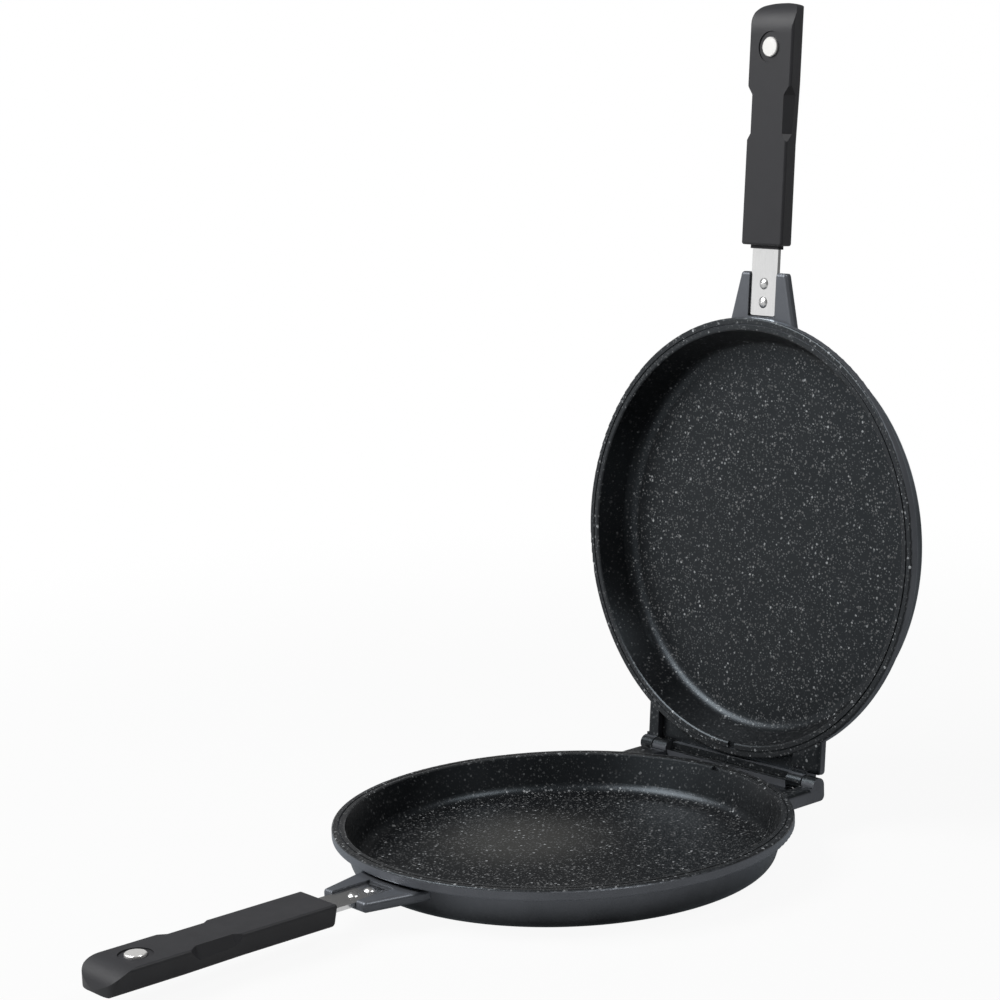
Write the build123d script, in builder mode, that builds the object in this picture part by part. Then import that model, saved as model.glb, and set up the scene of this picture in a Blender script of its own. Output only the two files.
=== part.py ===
from build123d import *

import math
import os

# A double sided flip pan: two equal cast pans, hinged edge to edge at the back, each with its
# own riveted tang and moulded grip. One casting serves for both halves: the upper one is the
# lower one turned half round about the line of the grips and then swung open.
#
# Millimetres. Every piece of a half is drawn once in the half's own frame: origin at the centre
# of the rim's flat face, +Z out of the pan's mouth, grip towards -Y, hinge towards +Y.

# Rim
rim_radius = 125.0
rim_width = 7.0
rim_height = 5.5
rim_round = 1.2
rim_lip_bevel = 0.5
rim_underside_slope = 1.5
rim_overhang = 5.6
rim_groove_inset = 3.8
rim_groove_width = 0.9
rim_groove_depth = 0.8
drip_notch_width = 5.0
drip_notch_depth = 1.5

# Wall, floor and base
pan_height = 27.3
outer_wall_draft = 18.0
base_edge_rise = 4.0
base_edge_run = 14.3
base_edge_round = 8.0
floor_thickness = 6.1
inner_wall_draft = 19.3
floor_round = 8.0
base_ring_count = 4
base_ring_start = 28.0
base_ring_pitch = 18.0
base_ring_width = 2.0
base_ring_depth = 0.4

# Space between the two rims when the pan is shut, and how far it stands open
rim_gap = 0.6
open_angle = 95.7

# Bracket that carries the tang
bracket_reach = 25.5
bracket_root = 15.0
bracket_tip_half_width = 17.0
bracket_root_half_width = 24.5
bracket_root_station = 4.0
bracket_top = 7.6
bracket_bottom = 13.2
bracket_corner_round = 2.0
bracket_top_round = 2.0
bracket_bottom_bevel = 1.2

# Tang, its rivets and the channel it lies in
tang_width = 19.5
tang_thickness = 2.2
tang_top = 8.8
tang_gap_to_rim = 1.2
tang_end_clearance = 0.6
tang_side_clearance = 0.5
tang_in_grip = 38.0
tang_corner_round = 2.0
rivet_first_from_rim = 8.6
rivet_pitch = 10.5
rivet_head_radius = 3.3
rivet_head_height = 1.5
rivet_shank_radius = 2.0

# Grip
grip_from_rim = 40.6
grip_length = 134.5
grip_face = 4.5
grip_height = 12.9
grip_side_draft = 15.0
grip_root_half_width = 15.8
grip_middle_half_width = 15.6
grip_head_half_width = 16.6
grip_middle_station = 56.4
grip_head_station = 90.0
grip_root_round = 1.4
grip_back_round = 3.5
grip_face_round = 1.5
grip_nose_length = 17.0
grip_socket_clearance = 0.1
grip_nose_corner_round = 8.0
grip_nose_bow = 3.5
grip_nose_back_round = 1.0
grip_collar_wall = 0.9
grip_collar_length = 2.0
waist_half_width = 11.9
waist_first_ramp = 5.6
waist_length = 21.5
waist_depth = 8.6
waist_foot_half_width = 15.5
waist_foot_ramp = 2.0
waist_spread = 5.0

# Magnet at the grip's end
magnet_from_tip = 24.7
magnet_radius = 5.5
magnet_height = 4.0
magnet_proud = 0.7
magnet_bevel = 0.4
magnet_recess_radius = 8.75
magnet_recess_depth = 0.7

# Screw that holds the grip on the tang, driven from the grip's back
grip_screw_from_root = 22.0
grip_screw_shank_radius = 2.0
grip_screw_head_radius = 3.6
grip_screw_head_height = 2.4
grip_screw_sink = 1.2
grip_screw_slot_width = 0.9
grip_screw_slot_depth = 0.9

# Hinge
hinge_from_rim = 4.6
knuckle_radius = 4.5
knuckle_gap_station = 58.8
knuckle_gap = 1.0
inner_knuckle_length = 10.8
outer_knuckle_length = 9.0
hinge_pin_radius = 2.25
hinge_pin_running_clearance = 0.05
hinge_pin_end_clearance = 0.8
hinge_clearance = 0.5
arm_top = 0.3
arm_bottom = 8.5
arm_root = 26.0
arm_rear_round = 3.0
arm_edge_round = 2.8
wide_arm_bottom = 5.2
wide_arm_setback = 1.0
web_top = 4.0
web_bottom = 6.8
rear_bar_end_gap = 1.0
rear_bar_front_gap = 1.0
rear_bar_overhang = 2.0
rear_bar_depth = 8.5
rear_bar_stop_gap = 0.3

# Small amount by which cutting solids run past the faces that they open
cut_margin = 1.0
quarter_turn = 90.0

# Sizes that follow from those above
wall_top_radius = rim_radius - rim_overhang
wall_top_depth = rim_height + rim_underside_slope
base_edge_depth = pan_height - base_edge_rise
outer_wall_slope = math.tan(math.radians(outer_wall_draft))
base_edge_radius = wall_top_radius - outer_wall_slope * (base_edge_depth - wall_top_depth)
base_radius = base_edge_radius - base_edge_run
floor_depth = pan_height - floor_thickness
mouth_radius = rim_radius - rim_width
wall_slope = math.tan(math.radians(inner_wall_draft))
floor_radius = mouth_radius - wall_slope * floor_depth
groove_radius = rim_radius - rim_groove_inset
hinge_y = rim_radius + hinge_from_rim
hinge_z = rim_gap / 2
tang_bottom = tang_top + tang_thickness
tang_inner_y = -(rim_radius + tang_gap_to_rim)
bracket_tip_y = -(rim_radius + bracket_reach)
bracket_root_y = -(rim_radius - bracket_root)
grip_root_y = -(rim_radius + grip_from_rim)
grip_tip_y = grip_root_y - grip_length
tang_outer_y = grip_root_y - tang_in_grip
grip_back = grip_face + grip_height
magnet_y = grip_tip_y + magnet_from_tip
magnet_top = grip_face - magnet_proud
grip_screw_y = grip_root_y - grip_screw_from_root


def nearest_corner(builder, x, y):
    # The corner of the sketch being drawn that lies nearest to a point.
    return builder.vertices().sort_by_distance((x, y))[0]


# Casting: bracket for the tang
bracket_run = bracket_reach + bracket_root
bracket_taper = (bracket_root_half_width - bracket_tip_half_width) / (bracket_reach + bracket_root_station)
bracket_root_spread = bracket_tip_half_width + bracket_taper * bracket_run

with BuildPart() as tang_bracket:
    with BuildSketch(Plane.XY.offset(-bracket_bottom)) as bracket_plan:
        with BuildLine():
            Polyline(
                (-bracket_root_spread, bracket_root_y),
                (-bracket_tip_half_width, bracket_tip_y),
                (bracket_tip_half_width, bracket_tip_y),
                (bracket_root_spread, bracket_root_y),
                close=True,
            )
        make_face()
        fillet(
            bracket_plan.vertices().group_by(Axis.Y)[0],
            radius=bracket_corner_round,
        )
    extrude(amount=bracket_bottom - bracket_top)
    bracket_top_rail = tang_bracket.faces().sort_by(Axis.Z)[-1].edges()
    fillet(
        bracket_top_rail.filter_by(lambda edge: edge.center().Y < -rim_radius),
        radius=bracket_top_round,
    )
    bracket_underside = tang_bracket.faces().sort_by(Axis.Z)[0].edges()
    chamfer(
        bracket_underside.filter_by(lambda edge: edge.center().Y < -mouth_radius),
        length=bracket_bottom_bevel,
    )


# Casting: frame of the hinge
outer_knuckle_inner_x = knuckle_gap_station + knuckle_gap / 2
outer_knuckle_outer_x = outer_knuckle_inner_x + outer_knuckle_length
inner_knuckle_outer_x = knuckle_gap_station - knuckle_gap / 2
inner_knuckle_inner_x = inner_knuckle_outer_x - inner_knuckle_length
deck_front_y = rim_radius - arm_root
deck_rear_y = hinge_y - knuckle_radius - hinge_clearance
rear_bar_front_y = rim_radius + rear_bar_front_gap
rear_bar_rear_y = hinge_y + rear_bar_overhang
rear_bar_left_x = -(inner_knuckle_inner_x + inner_knuckle_length / 2)
rear_bar_right_x = inner_knuckle_inner_x - rear_bar_end_gap
knuckle_rear_y = hinge_y + knuckle_radius
wide_arm_outer_x = outer_knuckle_outer_x - wide_arm_setback
web_lip_top_z = hinge_z - knuckle_radius - hinge_clearance

# The rear edge of the bar is cut back along a plane through the hinge's axis, half the opening
# angle below level. The other half has the same cut, and the two meet when the pan stands open.
stop_turn = math.radians(open_angle / 2)
stop_setback_y = rear_bar_stop_gap / 2 * math.sin(stop_turn)
stop_setback_z = rear_bar_stop_gap / 2 * math.cos(stop_turn)
stop_top_y = hinge_y + (hinge_z - stop_setback_z) / math.tan(stop_turn) - stop_setback_y
stop_low_z = hinge_z - stop_setback_z - (rear_bar_overhang + stop_setback_y) * math.tan(stop_turn)

with BuildPart() as hinge_frame:
    # Thin web, low down, that fills in between the arms, the bar and the rim
    with BuildSketch(Plane.XY.offset(-web_bottom)):
        with BuildLine():
            Polyline(
                (-inner_knuckle_inner_x, deck_front_y),
                (outer_knuckle_inner_x, deck_front_y),
                (outer_knuckle_inner_x, deck_rear_y),
                (rear_bar_right_x, deck_rear_y),
                (rear_bar_right_x, rear_bar_front_y),
                (-inner_knuckle_inner_x, rear_bar_front_y),
                close=True,
            )
        make_face()
    extrude(amount=web_bottom - web_top)
    # Lip of the web, which passes under the other half's inner knuckle
    with BuildSketch(Plane.XY.offset(-web_bottom)):
        with BuildLine():
            Polyline(
                (rear_bar_right_x, deck_front_y),
                (outer_knuckle_inner_x, deck_front_y),
                (outer_knuckle_inner_x, hinge_y),
                (rear_bar_right_x, hinge_y),
                close=True,
            )
        make_face()
    extrude(amount=web_bottom + web_lip_top_z)
    # Arms: the narrow one ends in the outer knuckle, and the wide one carries the inner knuckle
    # on its inner part and stops short of the other half's outer knuckle
    for arm_inner_x, arm_outer_x, arm_under in (
        (outer_knuckle_inner_x, outer_knuckle_outer_x, arm_bottom),
        (-inner_knuckle_inner_x, -wide_arm_outer_x, wide_arm_bottom),
    ):
        with BuildSketch(Plane.XZ.offset(-deck_front_y)) as arm_section:
            with BuildLine():
                Polyline(
                    (arm_inner_x, -arm_under),
                    (arm_outer_x, -arm_under),
                    (arm_outer_x, -arm_top),
                    (arm_inner_x, -arm_top),
                    close=True,
                )
            make_face()
            fillet(
                nearest_corner(arm_section, arm_outer_x, -arm_top),
                radius=arm_edge_round,
            )
        extrude(amount=-(deck_rear_y - deck_front_y))
    fillet(
        hinge_frame.edges()
        .filter_by(Axis.Z)
        .sort_by_distance((-wide_arm_outer_x, deck_rear_y, -wide_arm_bottom))[0],
        radius=arm_rear_round,
    )
    for arm_start, arm_length in (
        (outer_knuckle_inner_x, outer_knuckle_length),
        (-inner_knuckle_outer_x, inner_knuckle_length),
    ):
        with BuildSketch(Plane.YZ.offset(arm_start)) as arm_side:
            with BuildLine():
                Polyline(
                    (deck_rear_y - cut_margin, -arm_top),
                    (hinge_y, -arm_top),
                    (hinge_y, hinge_z),
                    (knuckle_rear_y, hinge_z),
                    (knuckle_rear_y, -arm_bottom),
                    (deck_rear_y - cut_margin, -arm_bottom),
                    close=True,
                )
            make_face()
            fillet(
                nearest_corner(arm_side, knuckle_rear_y, -arm_bottom),
                radius=arm_rear_round,
            )
            with Locations((hinge_y, hinge_z)):
                Circle(knuckle_radius)
        extrude(amount=arm_length)
    with BuildSketch(Plane.YZ.offset(rear_bar_left_x)):
        with BuildLine():
            Polyline(
                (rear_bar_front_y, 0),
                (stop_top_y, 0),
                (rear_bar_rear_y, stop_low_z),
                (rear_bar_rear_y, -rear_bar_depth),
                (rear_bar_front_y, -rear_bar_depth),
                close=True,
            )
        make_face()
    extrude(amount=rear_bar_right_x - rear_bar_left_x)


# Casting: the pan itself
hinge_pin_inner_x = inner_knuckle_inner_x + 2 * hinge_pin_end_clearance
hinge_pin_length = outer_knuckle_outer_x - hinge_pin_inner_x - hinge_pin_end_clearance
channel_half_width = tang_width / 2 + tang_side_clearance
channel_end_y = tang_inner_y + tang_end_clearance
rivet_stations = [
    ("inner", -(rim_radius + rivet_first_from_rim)),
    ("outer", -(rim_radius + rivet_first_from_rim + rivet_pitch)),
]

with BuildPart() as pan:
    with BuildSketch(Plane.XZ) as outer_profile:
        with BuildLine():
            Polyline(
                (0, 0),
                (rim_radius, 0),
                (rim_radius, -rim_height),
                (wall_top_radius, -wall_top_depth),
                (base_edge_radius, -base_edge_depth),
                (base_radius, -pan_height),
                (0, -pan_height),
                close=True,
            )
        make_face()
        fillet(
            nearest_corner(outer_profile, base_edge_radius, -base_edge_depth),
            radius=base_edge_round,
        )
        fillet(nearest_corner(outer_profile, rim_radius, 0), radius=rim_round)
        fillet(nearest_corner(outer_profile, rim_radius, -rim_height), radius=rim_round)
    revolve(axis=Axis.Z)
    add(tang_bracket.part)
    add(hinge_frame.part)
    # Mouth, wall and floor of the pan
    with BuildSketch(Plane.XZ) as inner_profile:
        with BuildLine():
            Polyline(
                (0, cut_margin),
                (mouth_radius + rim_lip_bevel, cut_margin),
                (mouth_radius + rim_lip_bevel, 0),
                (mouth_radius - wall_slope * rim_lip_bevel, -rim_lip_bevel),
                (floor_radius, -floor_depth),
                (0, -floor_depth),
                close=True,
            )
        make_face()
        fillet(
            nearest_corner(inner_profile, floor_radius, -floor_depth),
            radius=floor_round,
        )
    revolve(axis=Axis.Z, mode=Mode.SUBTRACT)
    # Groove in the rim's face, and the small notch through the lip inside it
    with BuildSketch(Plane.XZ):
        with Locations((groove_radius, 0)):
            Rectangle(rim_groove_width, 2 * rim_groove_depth)
    revolve(axis=Axis.Z, mode=Mode.SUBTRACT)
    with BuildSketch(Plane.XY):
        with Locations((0, (groove_radius + mouth_radius) / 2 - cut_margin)):
            Rectangle(drip_notch_width, groove_radius - mouth_radius + 2 * cut_margin)
    extrude(amount=-drip_notch_depth, mode=Mode.SUBTRACT)
    # Shallow rings turned in the base
    with BuildSketch(Plane.XZ):
        for ring in range(base_ring_count):
            with Locations((base_ring_start + ring * base_ring_pitch, -pan_height)):
                Rectangle(base_ring_width, 2 * base_ring_depth)
    revolve(axis=Axis.Z, mode=Mode.SUBTRACT)
    # Channel for the tang, open at the bracket's tip, and its rivets' holes
    with BuildSketch(Plane.XY.offset(-tang_bottom)):
        with BuildLine():
            Polyline(
                (-channel_half_width, channel_end_y),
                (channel_half_width, channel_end_y),
                (channel_half_width, bracket_tip_y - cut_margin),
                (-channel_half_width, bracket_tip_y - cut_margin),
                close=True,
            )
        make_face()
    extrude(amount=tang_bottom, mode=Mode.SUBTRACT)
    with BuildSketch(Plane.XY.offset(-bracket_bottom - cut_margin)):
        with Locations([(0, station) for _, station in rivet_stations]):
            Circle(rivet_shank_radius)
    extrude(amount=bracket_bottom, mode=Mode.SUBTRACT)
    # Hinge holes: the outer knuckle grips its pin, the inner one turns on the other half's pin
    with BuildSketch(Plane.YZ.offset(outer_knuckle_inner_x - cut_margin)):
        with Locations((hinge_y, hinge_z)):
            Circle(hinge_pin_radius)
    extrude(amount=outer_knuckle_length + 2 * cut_margin, mode=Mode.SUBTRACT)
    with BuildSketch(Plane.YZ.offset(-inner_knuckle_outer_x - cut_margin)):
        with Locations((hinge_y, hinge_z)):
            Circle(hinge_pin_radius + hinge_pin_running_clearance)
    extrude(amount=inner_knuckle_outer_x + cut_margin - hinge_pin_inner_x, mode=Mode.SUBTRACT)


# Tang and rivets
with BuildPart() as tang:
    with BuildSketch(Plane.XY.offset(-tang_bottom)) as tang_plan:
        with Locations((0, (tang_inner_y + tang_outer_y) / 2)):
            Rectangle(tang_width, tang_inner_y - tang_outer_y)
        fillet(tang_plan.vertices(), radius=tang_corner_round)
        with Locations([(0, station) for _, station in rivet_stations]):
            Circle(rivet_shank_radius, mode=Mode.SUBTRACT)
        with Locations((0, grip_screw_y)):
            Circle(grip_screw_shank_radius, mode=Mode.SUBTRACT)
    extrude(amount=tang_thickness)

rivet_dome_radius = (rivet_head_radius**2 + rivet_head_height**2) / (2 * rivet_head_height)
rivets = {}
for rivet_name, rivet_y in rivet_stations:
    with BuildPart() as rivet:
        with BuildSketch(Plane(origin=(0, rivet_y, 0), x_dir=(1, 0, 0), z_dir=(0, -1, 0))):
            with BuildLine():
                RadiusArc(
                    (0, rivet_head_height - tang_top),
                    (rivet_head_radius, -tang_top),
                    rivet_dome_radius,
                )
                Polyline(
                    (rivet_head_radius, -tang_top),
                    (rivet_shank_radius, -tang_top),
                    (rivet_shank_radius, -bracket_bottom),
                    (0, -bracket_bottom),
                    (0, rivet_head_height - tang_top),
                )
            make_face()
        revolve(axis=Axis((0, rivet_y, 0), (0, 0, 1)))
    rivets[rivet_name] = rivet


# Grip
grip_middle_y = grip_root_y - grip_middle_station
grip_head_y = grip_root_y - grip_head_station
grip_over_root_y = grip_root_y + grip_height
grip_over_tip_y = grip_tip_y - grip_height
grip_bow_y = grip_tip_y + grip_nose_bow
waist_outer_half_width = grip_head_half_width + waist_spread
waist_start_y = grip_middle_y - waist_first_ramp
waist_end_y = waist_start_y - waist_length
socket_half_width = tang_width / 2 + grip_socket_clearance
socket_end_y = tang_outer_y - grip_socket_clearance
collar_end_y = grip_root_y + grip_collar_length

with BuildPart() as grip:
    with BuildSketch(Plane.XY.offset(-grip_face)):
        with BuildLine():
            Polyline(
                (grip_root_half_width, grip_over_root_y),
                (grip_middle_half_width, grip_middle_y),
                (grip_head_half_width, grip_head_y),
                (grip_head_half_width, grip_over_tip_y),
                (-grip_head_half_width, grip_over_tip_y),
                (-grip_head_half_width, grip_head_y),
                (-grip_middle_half_width, grip_middle_y),
                (-grip_root_half_width, grip_over_root_y),
                close=True,
            )
        make_face()
    extrude(amount=-grip_height, taper=grip_side_draft)
    grip_back_edges = grip.faces().sort_by(Axis.Z)[0].edges()
    fillet(
        grip_back_edges.filter_by(lambda edge: abs(edge.center().X) > grip_back_round),
        radius=grip_back_round,
    )
    grip_face_edges = grip.faces().sort_by(Axis.Z)[-1].edges()
    fillet(
        grip_face_edges.filter_by(lambda edge: abs(edge.center().X) > grip_back_round),
        radius=grip_face_round,
    )
    # Square root end, and the long rounded nose at the other
    with BuildSketch(Plane.YZ):
        with BuildLine():
            Polyline(
                (grip_tip_y + grip_nose_length, -grip_face),
                (grip_root_y, -grip_face),
                (grip_root_y, -grip_back),
                (grip_tip_y + grip_nose_back_round, -grip_back),
            )
            RadiusArc(
                (grip_tip_y + grip_nose_back_round, -grip_back),
                (grip_tip_y, grip_nose_back_round - grip_back),
                radius=grip_nose_back_round,
            )
            EllipticalCenterArc(
                center=(grip_tip_y + grip_nose_length, grip_nose_back_round - grip_back),
                x_radius=grip_nose_length,
                y_radius=grip_height - grip_nose_back_round,
                start_angle=quarter_turn,
                arc_size=quarter_turn,
            )
        make_face()
    extrude(amount=grip_head_half_width, both=True, mode=Mode.INTERSECT)
    with BuildSketch(Plane.XY.offset(-grip_face)) as nose_plan:
        with BuildLine():
            Polyline(
                (grip_head_half_width, grip_bow_y),
                (grip_head_half_width, grip_root_y),
                (-grip_head_half_width, grip_root_y),
                (-grip_head_half_width, grip_bow_y),
            )
            ThreePointArc(
                (-grip_head_half_width, grip_bow_y),
                (0, grip_tip_y),
                (grip_head_half_width, grip_bow_y),
            )
        make_face()
        fillet(
            nose_plan.vertices().group_by(Axis.Y)[0],
            radius=grip_nose_corner_round,
        )
    extrude(amount=-grip_height, mode=Mode.INTERSECT)
    root_corners = grip.faces().sort_by(Axis.Y)[-1].edges()
    fillet(
        root_corners.filter_by(
            lambda edge: abs(edge.center().X) > grip_middle_half_width / 2 and edge.length > grip_height / 3
        ),
        radius=grip_root_round,
    )
    # Finger scoops that run out part way down the sides
    for side in (-1, 1):
        with BuildSketch(Plane.XY.offset(-grip_face)) as scoop_top:
            with BuildLine():
                Polyline(
                    (side * waist_outer_half_width, grip_middle_y),
                    (side * grip_middle_half_width, grip_middle_y),
                    (side * waist_half_width, waist_start_y),
                    (side * waist_half_width, waist_end_y),
                    (side * grip_head_half_width, grip_head_y),
                    (side * waist_outer_half_width, grip_head_y),
                    close=True,
                )
            make_face()
        with BuildSketch(Plane.XY.offset(-grip_face - waist_depth)) as scoop_foot:
            with BuildLine():
                Polyline(
                    (side * waist_outer_half_width, waist_start_y + waist_foot_ramp),
                    (side * grip_head_half_width, waist_start_y + waist_foot_ramp),
                    (side * waist_foot_half_width, waist_start_y),
                    (side * waist_foot_half_width, waist_end_y),
                    (side * grip_head_half_width, waist_end_y - waist_foot_ramp),
                    (side * waist_outer_half_width, waist_end_y - waist_foot_ramp),
                    close=True,
                )
            make_face()
        loft(ruled=True, mode=Mode.SUBTRACT)
    # Recess and pocket for the magnet
    with BuildSketch(Plane.XY.offset(-grip_face)):
        with Locations((0, magnet_y)):
            Circle(magnet_recess_radius)
    extrude(amount=-magnet_recess_depth, mode=Mode.SUBTRACT)
    with BuildSketch(Plane.XY.offset(-magnet_top)):
        with Locations((0, magnet_y)):
            Circle(magnet_radius)
    extrude(amount=-magnet_height, mode=Mode.SUBTRACT)
    # Thin collar round the mouth of the tang's socket
    with BuildSketch(Plane.XY.offset(-tang_bottom - grip_collar_wall)):
        with Locations((0, grip_root_y)):
            Rectangle(tang_width + 2 * grip_collar_wall, 2 * grip_collar_length)
    extrude(amount=tang_thickness + 2 * grip_collar_wall)
    # Socket for the tang
    with BuildSketch(Plane.XY.offset(-tang_bottom - grip_socket_clearance)):
        with BuildLine():
            Polyline(
                (-socket_half_width, collar_end_y + cut_margin),
                (socket_half_width, collar_end_y + cut_margin),
                (socket_half_width, socket_end_y),
                (-socket_half_width, socket_end_y),
                close=True,
            )
        make_face()
    extrude(amount=tang_thickness + 2 * grip_socket_clearance, mode=Mode.SUBTRACT)
    # Stepped hole for the screw, from the back
    with BuildSketch(Plane.XY.offset(-grip_back)):
        with Locations((0, grip_screw_y)):
            Circle(grip_screw_head_radius + grip_socket_clearance)
    extrude(amount=grip_screw_sink + grip_screw_head_height, mode=Mode.SUBTRACT)
    with BuildSketch(Plane.XY.offset(-grip_back)):
        with Locations((0, grip_screw_y)):
            Circle(grip_screw_shank_radius + grip_socket_clearance)
    extrude(amount=grip_back - tang_bottom, mode=Mode.SUBTRACT)

with BuildPart() as magnet:
    with BuildSketch(Plane.XY.offset(-magnet_top)):
        with Locations((0, magnet_y)):
            Circle(magnet_radius)
    extrude(amount=-magnet_height)
    chamfer(
        magnet.edges().group_by(Axis.Z)[-1],
        length=magnet_bevel,
    )

grip_screw_head_z = grip_screw_sink - grip_back
with BuildPart() as grip_screw:
    with BuildSketch(Plane.XY.offset(grip_screw_head_z)):
        with Locations((0, grip_screw_y)):
            Circle(grip_screw_head_radius)
    extrude(amount=grip_screw_head_height)
    with BuildSketch(Plane.XY.offset(grip_screw_head_z)):
        with Locations((0, grip_screw_y)):
            Circle(grip_screw_shank_radius)
    extrude(amount=grip_back - grip_screw_sink - tang_top)
    with BuildSketch(Plane.XY.offset(grip_screw_head_z)):
        with Locations((0, grip_screw_y)):
            Rectangle(grip_screw_slot_width, 2 * grip_screw_head_radius)
    extrude(amount=grip_screw_slot_depth, mode=Mode.SUBTRACT)

with BuildPart() as hinge_pin:
    with BuildSketch(Plane.YZ.offset(hinge_pin_inner_x + hinge_pin_end_clearance)):
        with Locations((hinge_y, hinge_z)):
            Circle(hinge_pin_radius)
    extrude(amount=hinge_pin_length)


# The two halves
# The lower half stands on its base. The upper half is turned half round, laid over the lower
# one, and swung back about the hinge's axis by the opening angle.
lower_frame = Plane(origin=(0, 0, pan_height))
shut_frame = Plane(
    origin=(0, 0, pan_height + rim_gap),
    x_dir=(-1, 0, 0),
    z_dir=(0, 0, -1),
)
hinge_axis_z = pan_height + hinge_z
swing = (
    Location((0, hinge_y, hinge_axis_z))
    * Location((0, 0, 0), (-open_angle, 0, 0))
    * Location((0, -hinge_y, -hinge_axis_z))
)
upper_frame = Plane(swing * shut_frame.location)

pieces = {
    "pan": pan,
    "tang": tang,
    "tang_rivet_inner": rivets["inner"],
    "tang_rivet_outer": rivets["outer"],
    "grip": grip,
    "magnet": magnet,
    "grip_screw": grip_screw,
    "hinge_pin": hinge_pin,
}

os.makedirs("parts", exist_ok=True)
for half_name, half_frame in (("lower", lower_frame), ("upper", upper_frame)):
    for piece_name, piece in pieces.items():
        with BuildPart(half_frame) as placed:
            add(piece.part)
        placed.part.label = f"{half_name}_{piece_name}"
        export_step(placed.part, f"parts/{placed.part.label}.step")
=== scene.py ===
import math

import bmesh
import bpy
from mathutils import Matrix, Vector

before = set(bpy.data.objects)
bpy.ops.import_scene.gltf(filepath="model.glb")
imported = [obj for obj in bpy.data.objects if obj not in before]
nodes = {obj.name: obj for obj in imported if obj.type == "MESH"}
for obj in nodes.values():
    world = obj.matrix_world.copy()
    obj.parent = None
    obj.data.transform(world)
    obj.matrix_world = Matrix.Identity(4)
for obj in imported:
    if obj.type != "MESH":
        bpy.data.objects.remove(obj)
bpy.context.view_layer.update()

halves = ("lower", "upper")
print("frame loaded:", len(nodes), "nodes")


# where the two castings sit: middle of the rim's face, mouth towards local +Z (metres)
castingPlace = {
    "panHeight": 0.0273,
    "rimGap": 0.0006,
    "openDegrees": 95.7,
    "hingeY": 0.1296,
}


def halfMatrix(half, place=castingPlace):
    if half == "lower":
        return Matrix.Translation((0, 0, place["panHeight"]))
    axisZ = place["panHeight"] + place["rimGap"] / 2
    hinge = Matrix.Translation((0, place["hingeY"], axisZ))
    shut = Matrix.Translation((0, 0, place["panHeight"] + place["rimGap"]))
    shut = shut @ Matrix.Rotation(math.pi, 4, "Y")
    swing = Matrix.Rotation(-math.radians(place["openDegrees"]), 4, "X")
    return hinge @ swing @ hinge.inverted() @ shut


def newMaterial(name):
    mat = bpy.data.materials.new(name)
    mat.use_nodes = True
    tree = mat.node_tree
    tree.nodes.clear()
    out = tree.nodes.new("ShaderNodeOutputMaterial")
    shader = tree.nodes.new("ShaderNodeBsdfPrincipled")
    tree.links.new(shader.outputs[0], out.inputs["Surface"])
    return mat, tree, shader


def addNode(tree, kind, values=None, **props):
    node = tree.nodes.new(kind)
    for key, value in props.items():
        setattr(node, key, value)
    for key, value in (values or {}).items():
        if isinstance(value, bpy.types.NodeSocket):
            tree.links.new(value, node.inputs[key])
        else:
            node.inputs[key].default_value = value
    return node


def mathNode(tree, operation, a, b=None, c=None, clamp=False):
    values = {slot: value for slot, value in enumerate((a, b, c)) if value is not None}
    return addNode(tree, "ShaderNodeMath", values, operation=operation, use_clamp=clamp).outputs[0]


def vectorNode(tree, operation, a, values=None):
    return addNode(tree, "ShaderNodeVectorMath", {0: a, **(values or {})}, operation=operation)


def noiseNode(tree, place, scale, detail, roughness=0.5):
    values = {"Vector": place, "Scale": scale, "Detail": detail, "Roughness": roughness}
    return addNode(tree, "ShaderNodeTexNoise", values)


def stepUp(tree, value, low, high):
    # 0 below low, 1 above high; swap the two for a step down
    values = {"Value": value, "From Min": low, "From Max": high}
    return addNode(tree, "ShaderNodeMapRange", values, interpolation_type="SMOOTHSTEP").outputs["Result"]


def between(tree, factor, start, end):
    # start where the factor is 0, end where it is 1
    return mathNode(tree, "MULTIPLY_ADD", factor, end - start, start)


def around(tree, noise, middle, swing):
    # the middle value, lifted and lowered by a noise
    return mathNode(tree, "MULTIPLY_ADD", noise, swing, middle - swing / 2)


def mixColour(tree, factor, a, b):
    node = tree.nodes.new("ShaderNodeMix")
    node.data_type = "RGBA"
    for socket, value in ((node.inputs[0], factor), (node.inputs[6], a), (node.inputs[7], b)):
        if isinstance(value, bpy.types.NodeSocket):
            tree.links.new(value, socket)
        else:
            socket.default_value = value
    return node.outputs[2]


def grey(level, tint=(1, 1, 1)):
    # display level 0..255 to linear colour by the sRGB curve, with a slight tint
    c = level / 255
    lin = c / 12.92 if c <= 0.04045 else ((c + 0.055) / 1.055) ** 2.4
    return (lin * tint[0], lin * tint[1], lin * tint[2], 1)


def localPlace(tree, half):
    # object coordinates turned into the casting's own frame
    coords = addNode(tree, "ShaderNodeTexCoord")
    home = halfMatrix(half)
    mapping = addNode(tree, "ShaderNodeMapping", {"Vector": coords.outputs["Object"]}, vector_type="TEXTURE")
    mapping.inputs["Location"].default_value = home.to_translation()
    mapping.inputs["Rotation"].default_value = home.to_euler("XYZ")
    return mapping.outputs["Vector"]


def mouthFacing(tree, half):
    # 1 where the surface faces out of the pan's mouth, -1 where it faces away
    normal = addNode(tree, "ShaderNodeTexCoord").outputs["Normal"]
    mouth = halfMatrix(half).to_3x3() @ Vector((0, 0, 1))
    return vectorNode(tree, "DOT_PRODUCT", normal, {1: mouth}).outputs["Value"]


def addBump(tree, shader, height, strength, depth):
    bump = addNode(tree, "ShaderNodeBump", {"Height": height, "Strength": strength, "Distance": depth})
    tree.links.new(bump.outputs[0], shader.inputs["Normal"])


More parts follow.
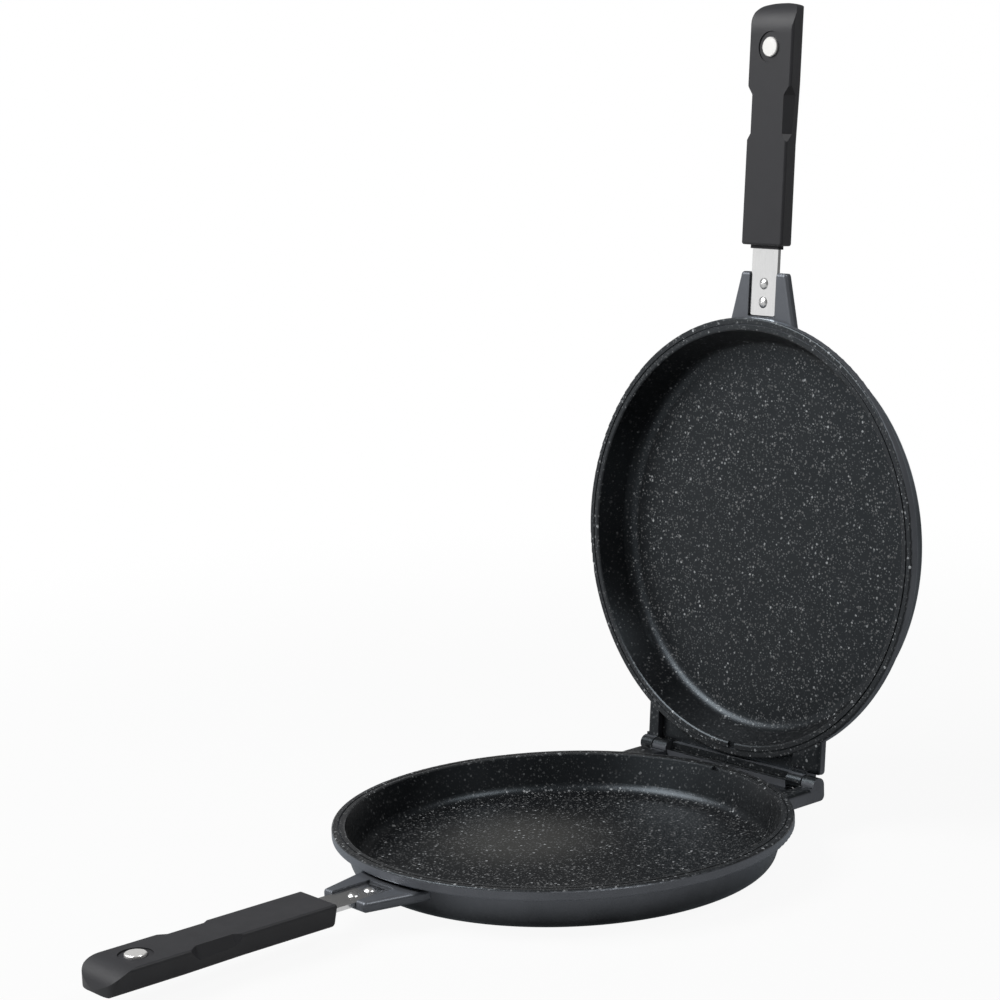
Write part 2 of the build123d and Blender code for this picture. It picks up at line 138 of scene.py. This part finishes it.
# what is coated and what is painted, in the casting's own frame (metres); each pair is a soft edge
coatedArea = {
    "coneAtRim": 0.1203,  # radius in the middle of the wall's thickness
    "coneSlope": 0.34,
    "coneEdge": (-0.0002, 0.0002),
    "floorEdge": (-0.0245, -0.0240),
    "insideFacing": (-0.2, 0.1),  # the wall's outside leans away from the mouth
    "rimFace": (-0.0012, -0.0004),
    "rimEdge": (0.1266, 0.1258),
    "wallFoot": (0.108, 0.114),
    "hingeStart": (0.06, 0.07),
    "hingeFacing": (0.25, 0.6),
    "behindRim": (0.126, 0.130),
}

# granite coating inside, on the rim and on what faces the mouth at the hinge
graniteCoat = {
    "coat": (10, (0.93, 1.0, 1.14)),
    "coatCloud": (16, (0.95, 1.0, 1.10)),
    "cloudScale": 42.0,
    "cloudRange": (0.35, 0.7),
    # the rim is lighter than the coat: painted sheen
    "rimCoatSheen": (30, (0.97, 1.0, 1.06)),
    # painted reflection in the middle of the lower base
    "paintedReflection": (50, (1.0, 0.98, 0.92)),
    "reflectionMiddle": (-0.036, 0.0),
    "reflectionReach": (0.066, 0.012),
    "roughness": 0.37,
    "hingeRoughness": 0.30,
    "roughSwing": 0.10,
    "specular": 0.36,
    "glossTint": (0.78, 0.90, 1.0),
    # strength of the specks away from the floor; fainter on the walls and behind the rim as painted shade
    "rimSpecks": 0.75,
    "wallSpecksInShade": 0.30,
    "hingeSpecksInShade": 0.48,
    "speckLayers": [
        # cells per metre, radius in cells, share of cells, dimmest, brightest
        (720, 0.42, 0.85, 54, 104),
        (420, 0.36, 0.85, 76, 152),
        (230, 0.21, 0.65, 98, 190),
    ],
    "speckSmallest": 0.5,
    "speckSpread": 0.6,
    "speckEdge": 0.35,
    "speckContrast": 2.2,
    "speckTint": (0.96, 1.0, 1.03),
    "wander": 0.00050,
    "wanderScale": 900.0,
    "clumpScale": 95.0,
    "clumpRange": (0.36, 0.60),
    "thinnest": 0.50,  # strength of the specks where they are sparse
    "speckRise": 0.6,
    "peelScale": 700.0,
    "bumpStrength": 0.25,
    "bumpDepth": 0.00008,
}

# dark metallic paint on the outside
castingPaint = {
    "paint": (104, (0.94, 0.99, 1.10)),
    # darker colour for random mottle and for painted shade low on the wall
    "paintMottleAndPaintedShade": (24, (0.97, 1.0, 1.05)),
    "paintedShadeLowWall": (-0.006, -0.027),
    "paintedShadeShare": 0.9,
    "mottleScale": 60.0,
    "mottleShare": 0.35,
    "roughness": 0.40,
    "roughSwing": 0.12,
    "metallic": 0.50,
    "grain": 2600,
    "glint": 120,
    "glintRange": (0.62, 0.75),
    "glintShare": 0.35,
}


def speckLayer(tree, coords, coat, cells, radius, share, dim, bright):
    cell = addNode(tree, "ShaderNodeTexVoronoi", {"Vector": coords, "Scale": cells})
    split = addNode(tree, "ShaderNodeSeparateColor", {"Color": cell.outputs["Color"]})
    keep = mathNode(tree, "LESS_THAN", split.outputs[0], share)
    size = mathNode(tree, "MULTIPLY_ADD", split.outputs[1],
                    radius * coat["speckSpread"], radius * coat["speckSmallest"])
    depth = mathNode(tree, "SUBTRACT", size, cell.outputs["Distance"])
    spot = mathNode(tree, "MULTIPLY", stepUp(tree, depth, 0.0, radius * coat["speckEdge"]), keep)
    strength = mathNode(tree, "POWER", split.outputs[2], coat["speckContrast"])
    colour = mixColour(tree, strength, grey(dim), grey(bright, coat["speckTint"]))
    return spot, colour


def coatColours(tree, half, place, flat, cloud, masks, coat):
    # black with drifting cloud and pale specks
    inside, onRim, onWall, atHinge = masks
    drift = noiseNode(tree, place, coat["wanderScale"], 2.0)
    push = vectorNode(tree, "SUBTRACT", drift.outputs["Color"], {1: (0.5, 0.5, 0.5)})
    pushed = vectorNode(tree, "SCALE", push.outputs[0], {"Scale": coat["wander"] * 2})
    wandering = vectorNode(tree, "ADD", place, {1: pushed.outputs[0]}).outputs[0]
    colour = mixColour(tree, stepUp(tree, cloud, *coat["cloudRange"]),
                       grey(*coat["coat"]), grey(*coat["coatCloud"]))
    if half == "lower":
        # painted reflection: the middle of the lower base is faintly lighter and warmer
        fromReflection = vectorNode(tree, "DISTANCE", flat, {1: (*coat["reflectionMiddle"], 0)}).outputs["Value"]
        paintedReflection = mathNode(tree, "MULTIPLY", stepUp(tree, fromReflection, *coat["reflectionReach"]), inside)
        colour = mixColour(tree, paintedReflection, colour, grey(*coat["paintedReflection"]))
    # the rim is lighter: painted sheen
    colour = mixColour(tree, onRim, colour, grey(*coat["rimCoatSheen"]))

    # fainter specks on the walls and behind the rim: painted shade
    speckPower = between(tree, onWall, 1.0, coat["wallSpecksInShade"])
    for mask, strength in ((onRim, coat["rimSpecks"]), (atHinge, coat["hingeSpecksInShade"])):
        speckPower = mathNode(tree, "MULTIPLY_ADD", mask, strength - coat["wallSpecksInShade"], speckPower)
    # the specks come in loose clumps
    clump = stepUp(tree, noiseNode(tree, place, coat["clumpScale"], 2.0).outputs["Fac"], *coat["clumpRange"])
    speckPower = mathNode(tree, "MULTIPLY", speckPower, between(tree, clump, coat["thinnest"], 1.0))
    specks = None
    for layer in coat["speckLayers"]:
        spot, speckColour = speckLayer(tree, wandering, coat, *layer)
        colour = mixColour(tree, mathNode(tree, "MULTIPLY", spot, speckPower), colour, speckColour)
        specks = spot if specks is None else mathNode(tree, "MAXIMUM", specks, spot)
    return colour, specks


def paintColours(tree, place, z, grain, paint):
    # slightly darker low on the wall as painted shade, with random mottle and a fine metallic grain
    low = mathNode(tree, "MULTIPLY", stepUp(tree, z, *paint["paintedShadeLowWall"]), paint["paintedShadeShare"])
    mottle = noiseNode(tree, place, paint["mottleScale"], 3.0).outputs["Fac"]
    shade = mathNode(tree, "MULTIPLY_ADD", mottle, paint["mottleShare"], low, clamp=True)
    colour = mixColour(tree, shade, grey(*paint["paint"]), grey(*paint["paintMottleAndPaintedShade"]))
    glint = mathNode(tree, "MULTIPLY", stepUp(tree, grain, *paint["glintRange"]), paint["glintShare"])
    return mixColour(tree, glint, colour, grey(paint["glint"]))


def castingMaterial(half, area=coatedArea, coat=graniteCoat, paint=castingPaint):
    mat, tree, shader = newMaterial(half + "CastingFinish")
    place = localPlace(tree, half)
    facing = mouthFacing(tree, half)
    x, y, z = addNode(tree, "ShaderNodeSeparateXYZ", {"Vector": place}).outputs
    flat = addNode(tree, "ShaderNodeCombineXYZ", {"X": x, "Y": y}).outputs[0]
    radius = vectorNode(tree, "LENGTH", flat).outputs["Value"]

    # a cone in the middle of the wall's thickness parts inside from outside
    cone = mathNode(tree, "MULTIPLY_ADD", z, area["coneSlope"], area["coneAtRim"])
    insideCone = stepUp(tree, mathNode(tree, "SUBTRACT", cone, radius), *area["coneEdge"])
    aboveFloor = mathNode(tree, "MULTIPLY", stepUp(tree, z, *area["floorEdge"]),
                          stepUp(tree, facing, *area["insideFacing"]))
    inside = mathNode(tree, "MULTIPLY", insideCone, aboveFloor)
    onRim = mathNode(tree, "MULTIPLY", stepUp(tree, z, *area["rimFace"]),
                     stepUp(tree, radius, *area["rimEdge"]))
    hingeSide = mathNode(tree, "MULTIPLY", stepUp(tree, y, *area["hingeStart"]),
                         stepUp(tree, facing, *area["hingeFacing"]))
    coated = mathNode(tree, "MAXIMUM", mathNode(tree, "MAXIMUM", inside, onRim), hingeSide)
    onWall = stepUp(tree, radius, *area["wallFoot"])
    atHinge = stepUp(tree, y, *area["behindRim"])

    cloud = noiseNode(tree, place, coat["cloudScale"], 4.0, 0.6).outputs["Fac"]
    grain = noiseNode(tree, place, paint["grain"], 2.0).outputs["Fac"]
    masks = (inside, onRim, onWall, atHinge)
    coatColour, specks = coatColours(tree, half, place, flat, cloud, masks, coat)
    colour = mixColour(tree, coated, paintColours(tree, place, z, grain, paint), coatColour)
    tree.links.new(colour, shader.inputs["Base Color"])

    # behind the rim the gloss is sharper
    coatRough = mathNode(tree, "MULTIPLY_ADD", atHinge, coat["hingeRoughness"] - coat["roughness"],
                         around(tree, cloud, coat["roughness"], coat["roughSwing"]))
    paintRough = around(tree, grain, paint["roughness"], paint["roughSwing"])
    rough = addNode(tree, "ShaderNodeMix", {0: coated, 2: paintRough, 3: coatRough}).outputs[0]
    tree.links.new(rough, shader.inputs["Roughness"])
    tree.links.new(between(tree, coated, paint["metallic"], 0.0), shader.inputs["Metallic"])
    shader.inputs["Specular IOR Level"].default_value = coat["specular"]
    shader.inputs["Specular Tint"].default_value = (*coat["glossTint"], 1)

    peel = noiseNode(tree, place, coat["peelScale"], 3.0).outputs["Fac"]
    height = mathNode(tree, "MULTIPLY_ADD", specks, coat["speckRise"], peel)
    addBump(tree, shader, height, coat["bumpStrength"], coat["bumpDepth"])
    return mat


# moulded grip
gripPlastic = {
    "face": (48, (0.97, 0.98, 1.08)),
    "cloud": (42, (0.97, 0.98, 1.07)),
    "cloudScale": 90.0,
    "roughness": 0.46,
    "roughSwing": 0.12,
    "specular": 0.22,
    "grain": 1500,
    "bumpStrength": 0.3,
    "bumpDepth": 0.00006,
}


def gripMaterial(half, look=gripPlastic):
    mat, tree, shader = newMaterial(half + "GripPlastic")
    place = localPlace(tree, half)
    cloud = noiseNode(tree, place, look["cloudScale"], 4.0).outputs["Fac"]
    grain = noiseNode(tree, place, look["grain"], 3.0).outputs["Fac"]
    colour = mixColour(tree, cloud, grey(*look["face"]), grey(*look["cloud"]))
    tree.links.new(colour, shader.inputs["Base Color"])
    tree.links.new(around(tree, cloud, look["roughness"], look["roughSwing"]), shader.inputs["Roughness"])
    shader.inputs["Specular IOR Level"].default_value = look["specular"]
    addBump(tree, shader, grain, look["bumpStrength"], look["bumpDepth"])
    return mat


# bare metal pieces
metalFinishes = {
    "tang": {"colour": (232, (1.0, 1.0, 1.0)), "metallic": 1.0, "roughness": 0.20,
             "stretch": (1, 0.08, 1), "grain": 900, "bump": 0.02},
    "rivet": {"colour": (222, (1.0, 1.0, 1.0)), "metallic": 1.0, "roughness": 0.30,
              "stretch": (1, 1, 1), "grain": 500, "bump": 0.08},
    "magnet": {"colour": (234, (1.0, 0.99, 0.97)), "metallic": 0.55, "roughness": 0.30,
               "stretch": (1, 1, 1), "grain": 900, "bump": 0.05},
    "screw": {"colour": (150, (1.0, 1.0, 1.0)), "metallic": 1.0, "roughness": 0.32,
              "stretch": (1, 1, 1), "grain": 700, "bump": 0.1},
}

# what the bare metals share
metalWear = {
    "grainShade": 0.94,
    "smudgeScale": 110.0,
    "roughSwing": 0.14,
    "bumpDepth": 0.00005,
}


def metalMaterial(half, kind, wear=metalWear):
    look = metalFinishes[kind]
    mat, tree, shader = newMaterial(half + kind.capitalize() + "Steel")
    place = localPlace(tree, half)
    stretched = vectorNode(tree, "MULTIPLY", place, {1: look["stretch"]}).outputs[0]
    grain = noiseNode(tree, stretched, look["grain"], 4.0).outputs["Fac"]
    smudge = noiseNode(tree, place, wear["smudgeScale"], 3.0).outputs["Fac"]
    level, tint = look["colour"]
    colour = mixColour(tree, grain, grey(level, tint), grey(level * wear["grainShade"], tint))
    tree.links.new(colour, shader.inputs["Base Color"])
    tree.links.new(around(tree, smudge, look["roughness"], wear["roughSwing"]), shader.inputs["Roughness"])
    shader.inputs["Metallic"].default_value = look["metallic"]
    addBump(tree, shader, grain, look["bump"], wear["bumpDepth"])
    return mat


def dressNode(name, material):
    mesh = nodes[name].data
    mesh.materials.clear()
    mesh.materials.append(material)


for half in halves:
    castingFinish = castingMaterial(half)
    dressNode(half + "_pan", castingFinish)
    dressNode(half + "_hinge_pin", castingFinish)  # painted over with the casting
    dressNode(half + "_grip", gripMaterial(half))
    dressNode(half + "_tang", metalMaterial(half, "tang"))
    rivetSteel = metalMaterial(half, "rivet")
    dressNode(half + "_tang_rivet_inner", rivetSteel)
    dressNode(half + "_tang_rivet_outer", rivetSteel)
    dressNode(half + "_magnet", metalMaterial(half, "magnet"))
    dressNode(half + "_grip_screw", metalMaterial(half, "screw"))
print("finishes on", len(nodes), "nodes")


# pale studio: floor, world, lamps
studio = {
    "floorSize": 8.0,
    "floorSquares": 8,
    "floorColour": 0.42,
    "floorGlow": 0.93,
    # glow of the floor in mirrored rays near the object: painted shade
    "mirroredGlowInShade": 0.18,
    "shadowReach": (0.35, 1.0),
    "mirroredShadeReach": (1.2, 3.6),
    "worldSoft": 0.12,
    "flagShade": 0.12,
    "flagSide": (0.97, 0.20, 0.0),
    "flagEdge": (-0.05, 0.35),
    "roomAbove": 0.03,
    "horizonFade": (0.07, 0.19),
    "lamps": [
        # name, location, length, width, watts
        ("keySoftbox", (-0.60, -0.92, 1.28), 1.15, 0.80, 37.0),
        ("sideSoftbox", (0.85, 0.34, 1.28), 0.45, 0.50, 9.0),
    ],
    "aim": (0.0, 0.0, 0.1),
}


def seenRays(tree):
    # rays that look at the backdrop: straight, mirrored or through glass
    path = addNode(tree, "ShaderNodeLightPath")
    mirrored = mathNode(tree, "MAXIMUM", path.outputs["Is Glossy Ray"], path.outputs["Is Transmission Ray"])
    return path.outputs["Is Camera Ray"], mirrored


def flagShade(tree, direction, look):
    # a dark flag stands on the right, so what mirrors that side stays deep
    along = vectorNode(tree, "DOT_PRODUCT", direction, {1: look["flagSide"]}).outputs["Value"]
    return between(tree, stepUp(tree, along, *look["flagEdge"]), 1.0, look["flagShade"])


def makeFloor(look=studio):
    mesh = bpy.data.meshes.new("studioFloor")
    bm = bmesh.new()
    squares = look["floorSquares"]
    bmesh.ops.create_grid(bm, x_segments=squares, y_segments=squares, size=look["floorSize"] / 2)
    bm.to_mesh(mesh)
    bm.free()
    floor = bpy.data.objects.new("studioFloor", mesh)
    bpy.context.scene.collection.objects.link(floor)

    mat = bpy.data.materials.new("palePaper")
    mat.use_nodes = True
    tree = mat.node_tree
    tree.nodes.clear()
    out = addNode(tree, "ShaderNodeOutputMaterial")
    paper = addNode(tree, "ShaderNodeBsdfDiffuse", {"Color": (look["floorColour"],) * 3 + (1,)})
    glow = addNode(tree, "ShaderNodeEmission", {"Strength": 1.0})
    straight, mirrored = seenRays(tree)
    place = addNode(tree, "ShaderNodeTexCoord").outputs["Object"]
    away = vectorNode(tree, "LENGTH", place).outputs["Value"]
    direct = between(tree, stepUp(tree, away, *look["shadowReach"]), look["floorGlow"], 1.0)
    # in mirrored rays the floor near the object glows less: painted shade, on top of the paper's real shadow
    mirroredShade = between(tree, stepUp(tree, away, *look["mirroredShadeReach"]), look["mirroredGlowInShade"], 1.0)
    mirroredShade = mathNode(tree, "MULTIPLY", mirroredShade, flagShade(tree, place, look))
    factor = mathNode(tree, "MAXIMUM", mathNode(tree, "MULTIPLY", straight, direct),
                      mathNode(tree, "MULTIPLY", mirrored, mirroredShade))
    both = addNode(tree, "ShaderNodeMixShader", {0: factor, 1: paper.outputs[0], 2: glow.outputs[0]})
    tree.links.new(both.outputs[0], out.inputs["Surface"])
    mesh.materials.append(mat)


def makeWorld(look=studio):
    world = bpy.data.worlds.new("studioWorld")
    bpy.context.scene.world = world
    world.use_nodes = True
    tree = world.node_tree
    tree.nodes.clear()
    out = addNode(tree, "ShaderNodeOutputWorld")
    white = (1, 1, 1, 1)
    soft = addNode(tree, "ShaderNodeBackground", {"Color": white, "Strength": look["worldSoft"]})
    bright = addNode(tree, "ShaderNodeBackground", {"Color": white, "Strength": 1.0})
    # what shines back from the room is white at the horizon and dark higher up, between the softboxes
    direction = addNode(tree, "ShaderNodeTexCoord").outputs["Generated"]
    height = addNode(tree, "ShaderNodeSeparateXYZ", {"Vector": direction}).outputs[2]
    backdrop = between(tree, stepUp(tree, height, *look["horizonFade"]), 1.0, look["roomAbove"])
    backdrop = mathNode(tree, "MULTIPLY", backdrop, flagShade(tree, direction, look))
    straight, mirrored = seenRays(tree)
    seen = mathNode(tree, "MAXIMUM", straight, mathNode(tree, "MULTIPLY", mirrored, backdrop))
    both = addNode(tree, "ShaderNodeMixShader", {0: seen, 1: soft.outputs[0], 2: bright.outputs[0]})
    tree.links.new(both.outputs[0], out.inputs["Surface"])


def addLamp(name, location, length, width, watts, aim):
    data = bpy.data.lights.new(name, "AREA")
    data.shape = "RECTANGLE"
    data.size = length
    data.size_y = width
    data.energy = watts
    lamp = bpy.data.objects.new(name, data)
    bpy.context.scene.collection.objects.link(lamp)
    lamp.location = location
    lamp.rotation_euler = (Vector(location) - Vector(aim)).to_track_quat("Z", "Y").to_euler()


makeFloor()
makeWorld()
for lamp in studio["lamps"]:
    addLamp(*lamp, studio["aim"])
print("studio set with", len(studio["lamps"]), "lamps")


cameraView = {
    "location": (1.03414, -0.92766, 0.46226),
    "turnDegrees": (79.36107, 2.15342, 48.82632),
    "lens": 96.188,
    "sensor": 36.0,
    "clip": (0.05, 50.0),
}


def addCamera(view=cameraView):
    data = bpy.data.cameras.new("studioCamera")
    camera = bpy.data.objects.new("studioCamera", data)
    bpy.context.scene.collection.objects.link(camera)
    camera.location = view["location"]
    camera.rotation_euler = [math.radians(angle) for angle in view["turnDegrees"]]
    data.lens = view["lens"]
    data.sensor_width = view["sensor"]
    data.clip_start, data.clip_end = view["clip"]
    bpy.context.scene.camera = camera


addCamera()
bpy.context.scene.view_settings.view_transform = "Standard"
print("camera set")
